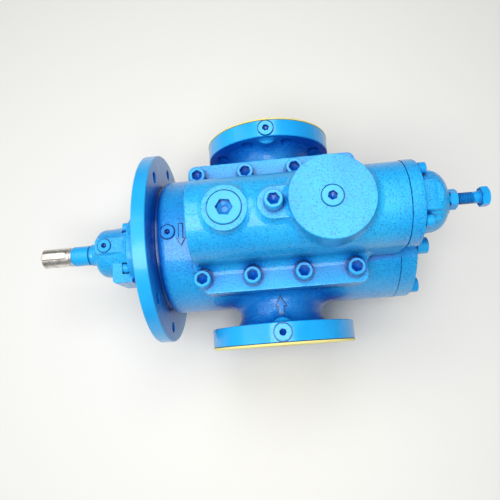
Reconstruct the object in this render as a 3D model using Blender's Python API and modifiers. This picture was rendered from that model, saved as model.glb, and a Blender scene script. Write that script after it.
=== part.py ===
"""A flange-mounted three-screw pump with its overflow valve housing on top.

The pump lies along X: the drive shaft points to -X and the valve's adjusting screw to +X.
The origin is on the drive flange's mounting face, on the bolt circle straight below the shaft.
Lengths are in metres. Every object hangs on one of two empties, the shaft's axis or the valve's.
"""
import math

import bmesh
import bpy
from mathutils import Vector

GAP = 0.0003                    # between faces that touch on the real pump
MERGE = 0.00001

# Driving dimensions of the pump, measured from the mounting face and the shaft's axis
SHAFT_HEIGHT = 0.130            # shaft above the origin, which is also the drive flange's bolt circle radius
BRANCH_X = 0.195                # centre of the suction and discharge branches
BARREL_RADIUS = 0.1084
BARREL_START = 0.0243
BARREL_END = 0.3715
JOINT_HEIGHT = 0.088            # casing top, where the valve housing is seated
DRIVE_RADIUS = 0.153
DRIVE_THICKNESS = 0.020
SPIGOT_RADIUS = 0.110
SPIGOT_DEPTH = 0.005
HUB_RADIUS = 0.066
HUB_LENGTH = 0.028
SEAL_FLANGE_START = -0.0385     # face under the seal housing screws
SEAL_FLANGE_RADIUS = 0.058
SEAL_SCREW_CIRCLE = 0.047
REGISTER_RADIUS = 0.100
DRIVE_HOLE_RADIUS = 0.009
DRIVE_HOLE_ANGLES = (45, 90, 135, 225, 270, 315)    # from straight up, none on the centre line

# Branch flanges: outer radius, face and back along Y, bolt circle, port and cover
SUCTION = {"side": -1, "radius": 0.110, "back": 0.141, "face": 0.1687, "circle": 0.090, "port": 0.050}
DISCHARGE = {"side": 1, "radius": 0.100, "back": 0.138, "face": 0.1643, "circle": 0.080, "port": 0.040}
FLANGE_HOLE_RADIUS = 0.009
FLANGE_HOLES = 8
FLANGE_HOLE_START = 22.5        # first hole, in degrees from straight up
NECK_RADIUS = 0.0635
NECK_FILLET = 0.012
PORT_DEPTH = 0.075
COVER_THICKNESS = 0.003

# Valve housing and its covers
VALVE_HEIGHT = 0.1437           # valve axis above the shaft
VALVE_RADIUS = 0.057
VALVE_START = 0.084
VALVE_END = 0.3657
LIP_START = 0.0755
LIP_END = 0.3195
LIP_HALF_WIDTH = 0.0955
LIP_TOP = 0.110
LIP_SCREW_X = (0.091, 0.1605, 0.231, 0.302)
LIP_SCREW_Y = 0.0753
DISC_X, DISC_RADIUS, DISC_TOP = 0.2695, 0.0545, 0.2095
PLUG_BOSS_X, PLUG_BOSS_RADIUS, PLUG_BOSS_TOP = 0.1351, 0.0305, 0.2025
PAD_X, PAD_RADIUS, PAD_TOP = 0.1973, 0.0215, 0.2035
COVER_START = 0.366
COVER_FLANGE_END = 0.3830
COVER_FLANGE_RADIUS = 0.058
DOME_RADIUS = 0.042
DOME_TURN = 0.395               # where the dome starts to close
DOME_SHELL_END = 0.4242
DOME_END = 0.4262               # face of the lock nut's seat
NUT_SEAT_RADIUS = 0.0135
DOME_FLAT = 0.0385              # height of the dome's flat crown above the valve's axis
BAR_TOP = 0.0400
BAR_SIDES = (-0.0222, 0.0190)   # the cast bar on the crown lies a little off the middle
END_COVER_START = 0.3718
END_COVER_END = 0.3950

# Shaft, key and adjusting screw
SHAFT_RADIUS = 0.016
SHAFT_TIP = -0.1957
SHAFT_INNER_END = -0.008
KEY = {"start": -0.1947, "end": -0.1523, "half_width": 0.005, "low": 0.011, "high": 0.0190}
SCREW_RADIUS = 0.008
HEX_HALF = 0.012                # half of a 24 mm hexagon across its flats
ADJUSTER = {"inner": 0.394, "head": 0.4680, "tip": 0.4785}
NUT_THICKNESS = 0.011

# Socket head screws: head radius, head height, shank radius, half the hexagon across its flats, socket depth
M16 = {"head": 0.012, "height": 0.016, "shank": 0.008, "hex": 0.007, "socket": 0.008}
M12 = {"head": 0.009, "height": 0.012, "shank": 0.006, "hex": 0.005, "socket": 0.006}
M10 = {"head": 0.008, "height": 0.010, "shank": 0.005, "hex": 0.004, "socket": 0.005}
HOLE_CLEARANCE = 0.0004
HEAD_CLEARANCE = 0.0012         # round a screw head that stands in a pocket
SHANK_SIDES = 12
SCREW_SIDES = 16
PLUG_SIDES = 24
BARREL_SIDES = 48
SHAFT_SIDES = 32
STUB_SHARE = 0.72               # a plug's thread radius against its collar's
STUB_LENGTH = 0.008

# Bolt circles of the screws that run along X
END_SCREW_CIRCLE = 0.092
DRIVE_SCREW_CIRCLE = 0.088
COVER_SCREW_CIRCLE = 0.049


def clear_scene():
    for old in list(bpy.data.objects):
        bpy.data.objects.remove(old, do_unlink=True)


def new_collection(name):
    made = bpy.data.collections.new(name)
    bpy.context.scene.collection.children.link(made)
    return made


def make_material(name, colour, roughness, metallic=0.0):
    made = bpy.data.materials.new(name)
    made.use_nodes = True
    shader = made.node_tree.nodes["Principled BSDF"]
    shader.inputs["Base Color"].default_value = (*colour, 1.0)
    shader.inputs["Roughness"].default_value = roughness
    shader.inputs["Metallic"].default_value = metallic
    return made


clear_scene()
PARTS = new_collection("three_screw_pump")
CUTTERS = new_collection("cutters")
BLUE = make_material("blue_paint", (0.02, 0.33, 0.80), 0.28)
STEEL = make_material("bare_steel", (0.55, 0.55, 0.53), 0.35, 1.0)
YELLOW = make_material("yellow_plastic", (0.85, 0.70, 0.12), 0.45)


def make_axis(name, height):
    empty = bpy.data.objects.new(name, None)
    empty.location = (0, 0, height)
    PARTS.objects.link(empty)
    return empty


SHAFT_AXIS = make_axis("shaft_axis", SHAFT_HEIGHT)
VALVE_AXIS = make_axis("valve_axis", SHAFT_HEIGHT + VALVE_HEIGHT)

# Turns that carry an object's own +Z onto the named direction
TURN = {
    "+Z": (0, 0, 0),
    "+X": (0, math.pi / 2, 0),
    "-X": (0, -math.pi / 2, 0),
    "+Y": (-math.pi / 2, 0, 0),
    "-Y": (math.pi / 2, 0, 0),
}


def place(obj, parent, location, turn):
    obj.parent = parent
    obj.location = location
    obj.rotation_euler = TURN[turn]


def add_object(name, mesh, parent, location=(0, 0, 0), turn="+Z", material=BLUE, cutter=False):
    obj = bpy.data.objects.new(name, mesh)
    (CUTTERS if cutter else PARTS).objects.link(obj)
    place(obj, parent, location, turn)
    if cutter:
        obj.hide_render = True
        obj.display_type = "WIRE"
    elif not mesh.materials:
        mesh.materials.append(material)
    return obj


def finish_mesh(name, bm):
    mesh = bpy.data.meshes.new(name)
    bm.to_mesh(mesh)
    bm.free()
    mesh.shade_smooth()
    mesh.set_sharp_from_angle(angle=math.radians(35))
    return mesh


def turned(
    name, profile, sides, parent, location=(0, 0, 0), turn="+X", material=BLUE, cutter=False, closed=False
):
    """Spin a profile of (radius, height) points, listed from the top down the outer side."""
    mesh = bpy.data.meshes.new(name)
    points = [(radius, 0, height) for radius, height in profile]
    edges = [(i, i + 1) for i in range(len(points) - 1)]
    if closed:
        edges.append((len(points) - 1, 0))
    mesh.from_pydata(points, edges, [])
    obj = add_object(name, mesh, parent, location, turn, material, cutter)
    screw = obj.modifiers.new("turn", "SCREW")
    screw.axis = "Z"
    screw.angle = 2 * math.pi
    screw.steps = sides
    screw.render_steps = sides
    screw.use_merge_vertices = True
    screw.merge_threshold = MERGE
    screw.use_smooth_shade = True
    return obj


def rods(name, ends, parent, sides=SHANK_SIDES, cutter=True):
    """Straight round bars in one mesh: each is (centre of one end, direction, radius, length).

    A cutter's flat sides lie outside its radius, so that a hole clears the round bar it takes.
    """
    bm = bmesh.new()
    spread = 1 / math.cos(math.pi / sides) if cutter else 1
    for start, direction, radius, length in ends:
        along = Vector(direction).normalized()
        made = bmesh.ops.create_cone(
            bm, cap_ends=True, segments=sides, radius1=radius * spread, radius2=radius * spread, depth=length
        )
        matrix = along.to_track_quat("Z", "Y").to_matrix().to_4x4()
        matrix.translation = Vector(start) + along * length / 2
        bmesh.ops.transform(bm, matrix=matrix, verts=made["verts"])
    return add_object(name, finish_mesh(name, bm), parent, cutter=cutter)


def block(name, low, high, parent, corners=(), cutter=False, material=BLUE):
    """A box whose upright corners can be rounded: each corner is (x side, y side, radius)."""
    bm = bmesh.new()
    bmesh.ops.create_cube(bm, size=1.0)
    low, high = Vector(low), Vector(high)
    bmesh.ops.scale(bm, vec=high - low, verts=bm.verts)
    bmesh.ops.translate(bm, vec=(low + high) / 2, verts=bm.verts)
    middle = (low + high) / 2
    for x_side, y_side, radius in corners:
        upright = [
            e for e in bm.edges
            if abs(e.verts[0].co.z - e.verts[1].co.z) > (high.z - low.z) * 0.5
            and (e.verts[0].co.x - middle.x) * x_side > (high.x - low.x) * 0.49
            and (e.verts[0].co.y - middle.y) * y_side > (high.y - low.y) * 0.49
        ]
        bmesh.ops.bevel(bm, geom=upright, offset=radius, segments=5, profile=0.5, affect="EDGES")
    return add_object(name, finish_mesh(name, bm), parent, cutter=cutter, material=material)


def slab(name, outline, sides, parent):
    """A plate between two places along Y, from its outline of (x, z) points."""
    front, back = sides
    bm = bmesh.new()
    face = bm.faces.new([bm.verts.new((x, front, z)) for x, z in outline])
    made = bmesh.ops.extrude_face_region(bm, geom=[face])
    moved = [item for item in made["geom"] if isinstance(item, bmesh.types.BMVert)]
    bmesh.ops.translate(bm, vec=(0, back - front, 0), verts=moved)
    bmesh.ops.recalc_face_normals(bm, faces=bm.faces)
    return add_object(name, finish_mesh(name, bm), parent, cutter=True)


def combine(target, other, operation):
    step = target.modifiers.new(other.name, "BOOLEAN")
    step.operation = operation
    step.solver = "EXACT"
    step.object = other


def cut(target, *others):
    for other in others:
        combine(target, other, "DIFFERENCE")


def join(target, *others):
    for other in others:
        combine(target, other, "UNION")


def fix_mesh(obj):
    """Make the evaluated shape the object's own mesh, so that copies can share it."""
    graph = bpy.context.evaluated_depsgraph_get()
    mesh = bpy.data.meshes.new_from_object(obj.evaluated_get(graph))
    obj.modifiers.clear()
    obj.data = mesh


def around(radius, angle_deg):
    """Y and Z of a point on a circle about X, its angle counted from straight up towards +Y."""
    angle = math.radians(angle_deg)
    return radius * math.sin(angle), radius * math.cos(angle)


# Fasteners
def socket_screw_mesh(name, size, length):
    """A socket head screw along +Z, its head's top at z = height and its seat at z = 0."""
    top = size["height"]
    profile = [
        (0, top), (size["head"], top), (size["head"], 0),
        (size["shank"], 0), (size["shank"], -length), (0, -length),
    ]
    screw = turned(name, profile, SCREW_SIDES, None, turn="+Z")
    socket = rods(name + "_socket", [((0, 0, top - size["socket"]), (0, 0, 1), size["hex"], 0.02)], None, 6)
    cut(screw, socket)
    fix_mesh(screw)
    mesh = screw.data
    bpy.data.objects.remove(screw, do_unlink=True)
    bpy.data.objects.remove(socket, do_unlink=True)
    return mesh


def plug_mesh(name, collar, thickness, socket):
    """A screw plug along +Z: a round collar with a hexagon socket and a threaded stub below."""
    stub = collar * STUB_SHARE
    profile = [
        (0, thickness), (collar, thickness), (collar, 0), (stub, 0), (stub, -STUB_LENGTH), (0, -STUB_LENGTH),
    ]
    plug = turned(name, profile, PLUG_SIDES, None, turn="+Z")
    hexagon = rods(name + "_socket", [((0, 0, -0.005), (0, 0, 1), socket, 0.03)], None, 6)
    cut(plug, hexagon)
    fix_mesh(plug)
    mesh = plug.data
    bpy.data.objects.remove(plug, do_unlink=True)
    bpy.data.objects.remove(hexagon, do_unlink=True)
    return mesh


def plug_seat(location, direction, collar):
    """The blind hole for a plug's stub, as a bar that starts outside the seat."""
    along = Vector(direction)
    radius = collar * STUB_SHARE + HOLE_CLEARANCE
    return (Vector(location) + along * 0.004, -along, radius, STUB_LENGTH + 0.005)


# Where the plugs sit: seat point from the shaft's axis, direction, collar radius, thickness, socket radius
PLUGS = {
    "suction_rim_plug": ((BRANCH_X, -0.1548, 0.1092), "+Z", 0.0125, 0.003, 0.0055),
    "discharge_rim_plug": ((BRANCH_X, 0.1512, 0.0992), "+Z", 0.0118, 0.003, 0.0055),
    "casing_plug": ((0.0408, 0.0, 0.1076), "+Z", 0.0105, 0.003, 0.0046),
    "valve_plug": ((PLUG_BOSS_X, 0.0, PLUG_BOSS_TOP), "+Z", 0.0222, 0.004, 0.0105),
    "disc_plug": ((DISC_X, 0.0, DISC_TOP), "+Z", 0.0138, 0.003, 0.0062),
    "seal_housing_plug": ((-0.0775, 0.004, 0.0435), "+Z", 0.0108, 0.003, 0.0046),
}


def seat_of(name):
    point, _, collar, _, _ = PLUGS[name]
    return plug_seat(point, (0, 0, 1), collar)


def lip_screws():
    return [(x, side * LIP_SCREW_Y) for side in (-1, 1) for x in LIP_SCREW_X]


def end_screws():
    return [around(END_SCREW_CIRCLE, angle) for angle in (30, 90, 150, 210, 270, 330)]


def drive_screws():
    return [around(DRIVE_SCREW_CIRCLE, angle) for angle in (45, 135, 225, 315)]


def seal_screws():
    return [around(SEAL_SCREW_CIRCLE, angle) for angle in (45, 135, 225, 315)]


def valve_cover_screws():
    return [around(COVER_SCREW_CIRCLE, angle) for angle in (45, 135, 225, 315)]


# Pump casing: barrel, two branches with flanges and the pad for the valve housing
def branch(spec, name):
    """One branch from the barrel's axis to its flange face, turned about Y."""
    start = BARREL_RADIUS - 0.001
    arc = []
    for step in range(4):
        drop = NECK_FILLET * (1 - step / 3)
        radius = NECK_RADIUS + NECK_FILLET - math.sqrt(NECK_FILLET**2 - drop**2)
        arc.append((radius, start + NECK_FILLET - drop))
    rim, face = spec["radius"], spec["face"]
    outline = [(0, face), (rim - 0.001, face), (rim, face - 0.001)]
    outline += [(spec["radius"], spec["back"]), (NECK_RADIUS + 0.006, spec["back"])]
    outline += [(NECK_RADIUS, spec["back"] - 0.006)]
    outline += list(reversed(arc))
    outline += [(arc[0][0], 0.0), (0, 0.0)]
    turn = "+Y" if spec["side"] > 0 else "-Y"
    return turned(name, outline, BARREL_SIDES, SHAFT_AXIS, (BRANCH_X, 0, 0), turn, cutter=True)


def pump_casing():
    edge = 0.006
    outline = [
        (0, BARREL_END), (BARREL_RADIUS, BARREL_END), (BARREL_RADIUS, BARREL_START + edge),
        (BARREL_RADIUS - edge * 0.3, BARREL_START + edge * 0.3), (BARREL_RADIUS - edge, BARREL_START),
        (0, BARREL_START),
    ]
    casing = turned("pump_casing", outline, BARREL_SIDES, SHAFT_AXIS)
    pad = block(
        "casing_pad", (LIP_START + 0.002, -0.0935, 0), (LIP_END - 0.001, 0.0935, JOINT_HEIGHT), SHAFT_AXIS,
        [(-1, -1, 0.02), (-1, 1, 0.014), (1, -1, 0.012), (1, 1, 0.012)], cutter=True,
    )
    join(casing, pad, branch(SUCTION, "suction_branch"), branch(DISCHARGE, "discharge_branch"))
    seat = block(
        "valve_seat", (LIP_START - GAP, -0.12, JOINT_HEIGHT), (0.40, 0.12, 0.13), SHAFT_AXIS, cutter=True
    )
    m16_hole, m12_hole = M16["shank"] + HOLE_CLEARANCE, M12["shank"] + HOLE_CLEARANCE
    holes = [((x, y, JOINT_HEIGHT + 0.01), (0, 0, -1), m16_hole, 0.036) for x, y in lip_screws()]
    holes += [((0.38, y, z), (-1, 0, 0), m16_hole, 0.035) for y, z in end_screws()]
    holes += [((0.02, y, z), (1, 0, 0), m12_hole, 0.026) for y, z in drive_screws()]
    for spec in (SUCTION, DISCHARGE):
        outward = spec["side"]
        for step in range(FLANGE_HOLES):
            angle = math.radians(FLANGE_HOLE_START + 360 / FLANGE_HOLES * step)
            x, z = BRANCH_X + spec["circle"] * math.sin(angle), spec["circle"] * math.cos(angle)
            depth = 0.18 - spec["back"] + 0.004
            holes.append(((x, outward * 0.18, z), (0, -outward, 0), FLANGE_HOLE_RADIUS, depth))
    for name in ("suction_rim_plug", "discharge_rim_plug", "casing_plug"):
        holes.append(seat_of(name))
    flats = [
        (Vector(PLUGS[name][0]), (0, 0, 1), PLUGS[name][2] + 0.0006, 0.01)
        for name in ("suction_rim_plug", "discharge_rim_plug", "casing_plug")
    ]
    cut(casing, seat, rods("casing_spot_faces", flats, SHAFT_AXIS, PLUG_SIDES))
    cut(casing, rods("casing_holes", holes, SHAFT_AXIS))
    for spec, name in ((SUCTION, "suction_port"), (DISCHARGE, "discharge_port")):
        mouth = (BRANCH_X, spec["side"] * (spec["face"] + 0.01), 0)
        port = (mouth, (0, -spec["side"], 0), spec["port"], PORT_DEPTH + 0.01)
        cut(casing, rods(name, [port], SHAFT_AXIS, 36))
    return casing


def port_cover(name, spec):
    """A yellow cover over a branch flange, with a shallow rim that sits in the port."""
    face = spec["face"] + GAP
    rim = spec["port"] - 0.001
    radius = spec["radius"] + 0.0006
    outline = [
        (0, face + COVER_THICKNESS), (radius, face + COVER_THICKNESS), (radius, face),
        (rim, face), (rim, face - 0.008), (0, face - 0.008),
    ]
    turn = "+Y" if spec["side"] > 0 else "-Y"
    return turned(name, outline, BARREL_SIDES, SHAFT_AXIS, (BRANCH_X, 0, 0), turn, YELLOW)


# Drive side: flange, seal housing, shaft and key
def drive_flange():
    edge = 0.001
    outline = [
        (0, BARREL_START - GAP), (REGISTER_RADIUS, BARREL_START - GAP), (REGISTER_RADIUS, DRIVE_THICKNESS),
        (DRIVE_RADIUS - edge, DRIVE_THICKNESS), (DRIVE_RADIUS, DRIVE_THICKNESS - edge),
        (DRIVE_RADIUS, edge), (DRIVE_RADIUS - edge, 0), (SPIGOT_RADIUS, 0), (SPIGOT_RADIUS, -SPIGOT_DEPTH),
        (HUB_RADIUS, -SPIGOT_DEPTH), (HUB_RADIUS, -HUB_LENGTH), (0, -HUB_LENGTH),
    ]
    flange = turned("drive_flange", outline, BARREL_SIDES, SHAFT_AXIS)
    holes = []
    for angle in DRIVE_HOLE_ANGLES:
        y, z = around(SHAFT_HEIGHT, angle)
        holes.append(((-0.01, y, z), (1, 0, 0), DRIVE_HOLE_RADIUS, 0.04))
    for y, z in drive_screws():
        holes.append(((-0.02, y, z), (1, 0, 0), M12["head"] + HEAD_CLEARANCE, 0.02 - SPIGOT_DEPTH + 0.013))
        holes.append(((-0.01, y, z), (1, 0, 0), M12["shank"] + HOLE_CLEARANCE, 0.05))
    for y, z in seal_screws():
        holes.append(((-0.05, y, z), (1, 0, 0), M10["shank"] + HOLE_CLEARANCE, 0.038))
    bearing = [((-0.05, 0, 0), (1, 0, 0), SHAFT_RADIUS + 0.0004, 0.05 + SHAFT_INNER_END + 0.002)]
    cut(flange, rods("drive_flange_bearing", bearing, SHAFT_AXIS, SHAFT_SIDES))
    for number, hole in enumerate(holes):
        cut(flange, rods(f"drive_flange_hole_{number}", [hole], SHAFT_AXIS))
    return flange


def seal_housing():
    front = -HUB_LENGTH - GAP
    bore = SHAFT_RADIUS + 0.0012
    outline = [
        (SEAL_FLANGE_RADIUS, front), (SEAL_FLANGE_RADIUS, SEAL_FLANGE_START + 0.001),
        (SEAL_FLANGE_RADIUS - 0.001, SEAL_FLANGE_START), (0.0500, SEAL_FLANGE_START), (0.0465, -0.0425),
        (0.0435, -0.0500), (0.0415, -0.0580), (0.0405, -0.0700), (0.0402, -0.0860), (0.0380, -0.0925),
        (0.0335, -0.0975), (0.0270, -0.1000), (bore, -0.1003), (bore, front),
    ]
    housing = turned("seal_housing", outline, SHAFT_SIDES, SHAFT_AXIS, closed=True)
    rib = block("seal_rib", (-0.0935, -0.0085, 0.030), (-0.036, 0.0165, 0.0435), SHAFT_AXIS,
                [(-1, -1, 0.006), (-1, 1, 0.006)], cutter=True)
    lug = block("seal_lug", (-0.0680, -0.0565, -0.030), (-0.0360, -0.018, 0.0335), SHAFT_AXIS,
                [(-1, -1, 0.006)], cutter=True)
    join(housing, rib, lug)
    pocket = M10["height"] + 0.003
    holes = [
        ((SEAL_FLANGE_START - pocket, y, z), (1, 0, 0), M10["head"] + HEAD_CLEARANCE, pocket)
        for y, z in seal_screws()
    ]
    cut(housing, rods("seal_screw_pockets", holes, SHAFT_AXIS, 16))
    holes = [((-0.06, y, z), (1, 0, 0), M10["shank"] + HOLE_CLEARANCE, 0.04) for y, z in seal_screws()]
    holes.append(seat_of("seal_housing_plug"))
    cut(housing, rods("seal_screw_holes", holes, SHAFT_AXIS))
    return housing


def drive_shaft():
    r = SHAFT_RADIUS
    outline = [
        (0, SHAFT_INNER_END), (r, SHAFT_INNER_END), (r, -0.1008), (0.0195, -0.1008), (0.0190, -0.1060),
        (0.0176, -0.1075), (0.0182, -0.1125), (0.0150, -0.1140), (0.0150, -0.1160), (0.0165, -0.1170),
        (0.0165, -0.1435), (0.0155, -0.1442), (0.0145, -0.1460), (0.0145, -0.1490), (r, -0.1496),
        (r, SHAFT_TIP + 0.0012), (r - 0.0012, SHAFT_TIP), (0, SHAFT_TIP),
    ]
    shaft = turned("drive_shaft", outline, SHAFT_SIDES, SHAFT_AXIS, material=STEEL)
    half = KEY["half_width"]
    slot = block(
        "keyway", (SHAFT_TIP - 0.01, -half - GAP, KEY["low"] - GAP), (KEY["end"] + GAP, half + GAP, 0.03),
        SHAFT_AXIS, [(1, -1, half), (1, 1, half)], cutter=True,
    )
    cut(shaft, slot)
    return shaft


def shaft_key():
    half = KEY["half_width"]
    return block(
        "shaft_key", (KEY["start"], -half, KEY["low"]), (KEY["end"], half, KEY["high"]), SHAFT_AXIS,
        [(1, -1, half - GAP), (1, 1, half - GAP)], material=STEEL,
    )


# Valve housing, valve cover, end cover, adjusting screw and lock nut
def valve_housing():
    bottom = JOINT_HEIGHT + GAP
    edge = 0.003
    outline = [
        (0, VALVE_END), (VALVE_RADIUS, VALVE_END), (VALVE_RADIUS, VALVE_START + edge),
        (VALVE_RADIUS - edge, VALVE_START), (0, VALVE_START),
    ]
    housing = turned("valve_housing", outline, BARREL_SIDES, VALVE_AXIS)
    lip = block(
        "valve_lip", (LIP_START, -LIP_HALF_WIDTH, bottom - 0.001), (LIP_END, LIP_HALF_WIDTH, LIP_TOP),
        SHAFT_AXIS,
        [(-1, -1, 0.022), (-1, 1, 0.015), (1, -1, 0.013), (1, 1, 0.013)], cutter=True,
    )
    body = block(
        "valve_body", (VALVE_START + 0.0002, -VALVE_RADIUS + 0.0002, bottom - 0.001),
        (VALVE_END - 0.0002, VALVE_RADIUS - 0.0002, VALVE_HEIGHT), SHAFT_AXIS, cutter=True,
    )
    bosses = [
        ((DISC_X, 0, 0.150), (0, 0, 1), DISC_RADIUS, DISC_TOP - 0.150),
        ((PLUG_BOSS_X, 0, 0.151), (0, 0, 1), PLUG_BOSS_RADIUS, PLUG_BOSS_TOP - 0.151),
        ((PAD_X, 0, 0.152), (0, 0, 1), PAD_RADIUS, PAD_TOP - 0.152),
    ]
    join(housing, body, lip)
    floor = block("valve_floor", (0.07, -0.11, 0.05), (0.38, 0.11, bottom), SHAFT_AXIS, cutter=True)
    cut(housing, floor)
    for number, boss in enumerate(bosses):
        join(housing, rods(f"valve_boss_{number}", [boss], SHAFT_AXIS, 36))
    m16_hole = M16["shank"] + HOLE_CLEARANCE
    holes = [((x, y, LIP_TOP + 0.01), (0, 0, -1), m16_hole, 0.05) for x, y in lip_screws()]
    holes.append(((PAD_X, 0, PAD_TOP + 0.01), (0, 0, -1), m16_hole, 0.031))
    holes += [seat_of("valve_plug"), seat_of("disc_plug")]
    for y, z in valve_cover_screws():
        holes.append(((0.375, y, VALVE_HEIGHT + z), (-1, 0, 0), M10["shank"] + HOLE_CLEARANCE, 0.030))
    cut(housing, rods("valve_housing_holes", holes, SHAFT_AXIS))
    return housing


def valve_cover():
    edge = 0.002
    reach = DOME_SHELL_END - DOME_TURN
    outline = [(0, DOME_END), (NUT_SEAT_RADIUS, DOME_END)]
    for radius in (NUT_SEAT_RADIUS, 0.022, 0.029, 0.034, 0.038, 0.0405, 0.0417):
        outline.append((radius, DOME_TURN + reach * (1 - (radius / DOME_RADIUS) ** 2.5) ** 0.4))
    outline += [
        (DOME_RADIUS, DOME_TURN), (DOME_RADIUS, COVER_FLANGE_END),
        (COVER_FLANGE_RADIUS - edge, COVER_FLANGE_END), (COVER_FLANGE_RADIUS, COVER_FLANGE_END - edge),
        (COVER_FLANGE_RADIUS, COVER_START), (0, COVER_START),
    ]
    cover = turned("valve_cover", outline, 40, VALVE_AXIS)
    crown = block("dome_crown", (COVER_FLANGE_END + 0.001, -0.03, DOME_FLAT), (0.45, 0.03, 0.06), VALVE_AXIS,
                  cutter=True)
    cut(cover, crown)
    bar = [(COVER_FLANGE_END - 0.004, 0.0), (COVER_FLANGE_END - 0.004, BAR_TOP)]
    for step in range(8):
        angle = math.radians(90 - 85 * step / 7)
        bar.append((DOME_TURN + reach * math.cos(angle), BAR_TOP * math.sin(angle)))
    bar.append((bar[-1][0], 0.0))
    join(cover, slab("cover_bar", bar, BAR_SIDES, VALVE_AXIS))
    joint = JOINT_HEIGHT + 2 * GAP - VALVE_HEIGHT
    flat = block("cover_flat", (0.36, -0.06, -0.08), (0.40, 0.06, joint), VALVE_AXIS, cutter=True)
    bore = rods("adjuster_bore", [((0.36, 0, 0), (1, 0, 0), SCREW_RADIUS + GAP, 0.08)], VALVE_AXIS, 24)
    holes = [((0.36, y, z), (1, 0, 0), M10["shank"] + HOLE_CLEARANCE, 0.04) for y, z in valve_cover_screws()]
    pockets = [
        ((COVER_FLANGE_END, y, z), (1, 0, 0), M10["head"] + 0.001, 0.03) for y, z in valve_cover_screws()
    ]
    cut(cover, flat, bore, rods("cover_screw_holes", holes, VALVE_AXIS))
    cut(cover, rods("cover_screw_pockets", pockets, VALVE_AXIS, 16))
    return cover


def end_cover():
    edge = 0.003
    outline = [
        (0, END_COVER_END), (BARREL_RADIUS - edge, END_COVER_END), (BARREL_RADIUS, END_COVER_END - edge),
        (BARREL_RADIUS, END_COVER_START), (0, END_COVER_START),
    ]
    cover = turned("end_cover", outline, BARREL_SIDES, SHAFT_AXIS)
    flat = block("end_cover_flat", (0.36, -0.12, JOINT_HEIGHT), (0.41, 0.12, 0.13), SHAFT_AXIS, cutter=True)
    holes = [((0.36, y, z), (1, 0, 0), M16["shank"] + HOLE_CLEARANCE, 0.05) for y, z in end_screws()]
    cut(cover, flat, rods("end_cover_holes", holes, SHAFT_AXIS))
    return cover


def adjusting_screw():
    outline = [
        (0, ADJUSTER["head"] + 0.002), (SCREW_RADIUS, ADJUSTER["head"] + 0.002),
        (SCREW_RADIUS, ADJUSTER["inner"] + 0.001), (SCREW_RADIUS - 0.001, ADJUSTER["inner"]),
        (0, ADJUSTER["inner"]),
    ]
    screw = turned("adjusting_screw", outline, 24, VALVE_AXIS)
    length = ADJUSTER["tip"] - ADJUSTER["head"]
    head = rods("adjuster_head", [((ADJUSTER["head"], 0, 0), (1, 0, 0), HEX_HALF, length)], VALVE_AXIS, 6)
    join(screw, head)
    return screw


def lock_nut():
    corner = HEX_HALF / math.cos(math.pi / 6)
    hexagon = ((DOME_END + GAP, 0, 0), (1, 0, 0), corner, NUT_THICKNESS)
    nut = rods("lock_nut", [hexagon], VALVE_AXIS, 6, cutter=False)
    bore = rods("nut_bore", [((DOME_END - 0.01, 0, 0), (1, 0, 0), SCREW_RADIUS + GAP, 0.04)], VALVE_AXIS, 24)
    cut(nut, bore)
    return nut


def add_fasteners():
    long_m16 = socket_screw_mesh("m16_lip_screw", M16, 0.042)
    for number, (x, y) in enumerate(lip_screws(), 1):
        add_object(f"valve_housing_screw_{number}", long_m16, SHAFT_AXIS, (x, y, LIP_TOP + GAP))
    short_m16 = socket_screw_mesh("m16_pad_screw", M16, 0.018)
    add_object("valve_pad_screw", short_m16, SHAFT_AXIS, (PAD_X, 0, PAD_TOP + GAP))
    end_m16 = socket_screw_mesh("m16_end_screw", M16, 0.048)
    for number, (y, z) in enumerate(end_screws(), 1):
        add_object(f"end_cover_screw_{number}", end_m16, SHAFT_AXIS, (END_COVER_END + GAP, y, z), "+X")
    cover_m10 = socket_screw_mesh("m10_cover_screw", M10, 0.036)
    for number, (y, z) in enumerate(valve_cover_screws(), 1):
        add_object(f"valve_cover_screw_{number}", cover_m10, VALVE_AXIS, (COVER_FLANGE_END + GAP, y, z), "+X")
    seal_m10 = socket_screw_mesh("m10_seal_screw", M10, 0.024)
    for number, (y, z) in enumerate(seal_screws(), 1):
        seat = (SEAL_FLANGE_START - GAP, y, z)
        add_object(f"seal_housing_screw_{number}", seal_m10, SHAFT_AXIS, seat, "-X")
    drive_m12 = socket_screw_mesh("m12_drive_screw", M12, 0.034)
    for number, (y, z) in enumerate(drive_screws(), 1):
        seat = (0.013 - SPIGOT_DEPTH - GAP, y, z)
        add_object(f"drive_flange_screw_{number}", drive_m12, SHAFT_AXIS, seat, "-X")
    for name, (point, turn, collar, thickness, socket) in PLUGS.items():
        lift = Vector((0, 0, GAP))
        add_object(name, plug_mesh(name, collar, thickness, socket), SHAFT_AXIS, Vector(point) + lift, turn)


def main():
    pump_casing()
    port_cover("suction_cover", SUCTION)
    port_cover("discharge_cover", DISCHARGE)
    drive_flange()
    seal_housing()
    drive_shaft()
    shaft_key()
    valve_housing()
    valve_cover()
    end_cover()
    adjusting_screw()
    lock_nut()
    add_fasteners()


main()
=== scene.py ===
"""Looks of a three-screw pump with its valve housing on top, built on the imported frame.

Lengths are in metres. X runs along the shaft from the drive end, Z is up, and the origin lies on the
drive flange's mounting face, on its bolt circle straight below the shaft.
"""
import math

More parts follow.
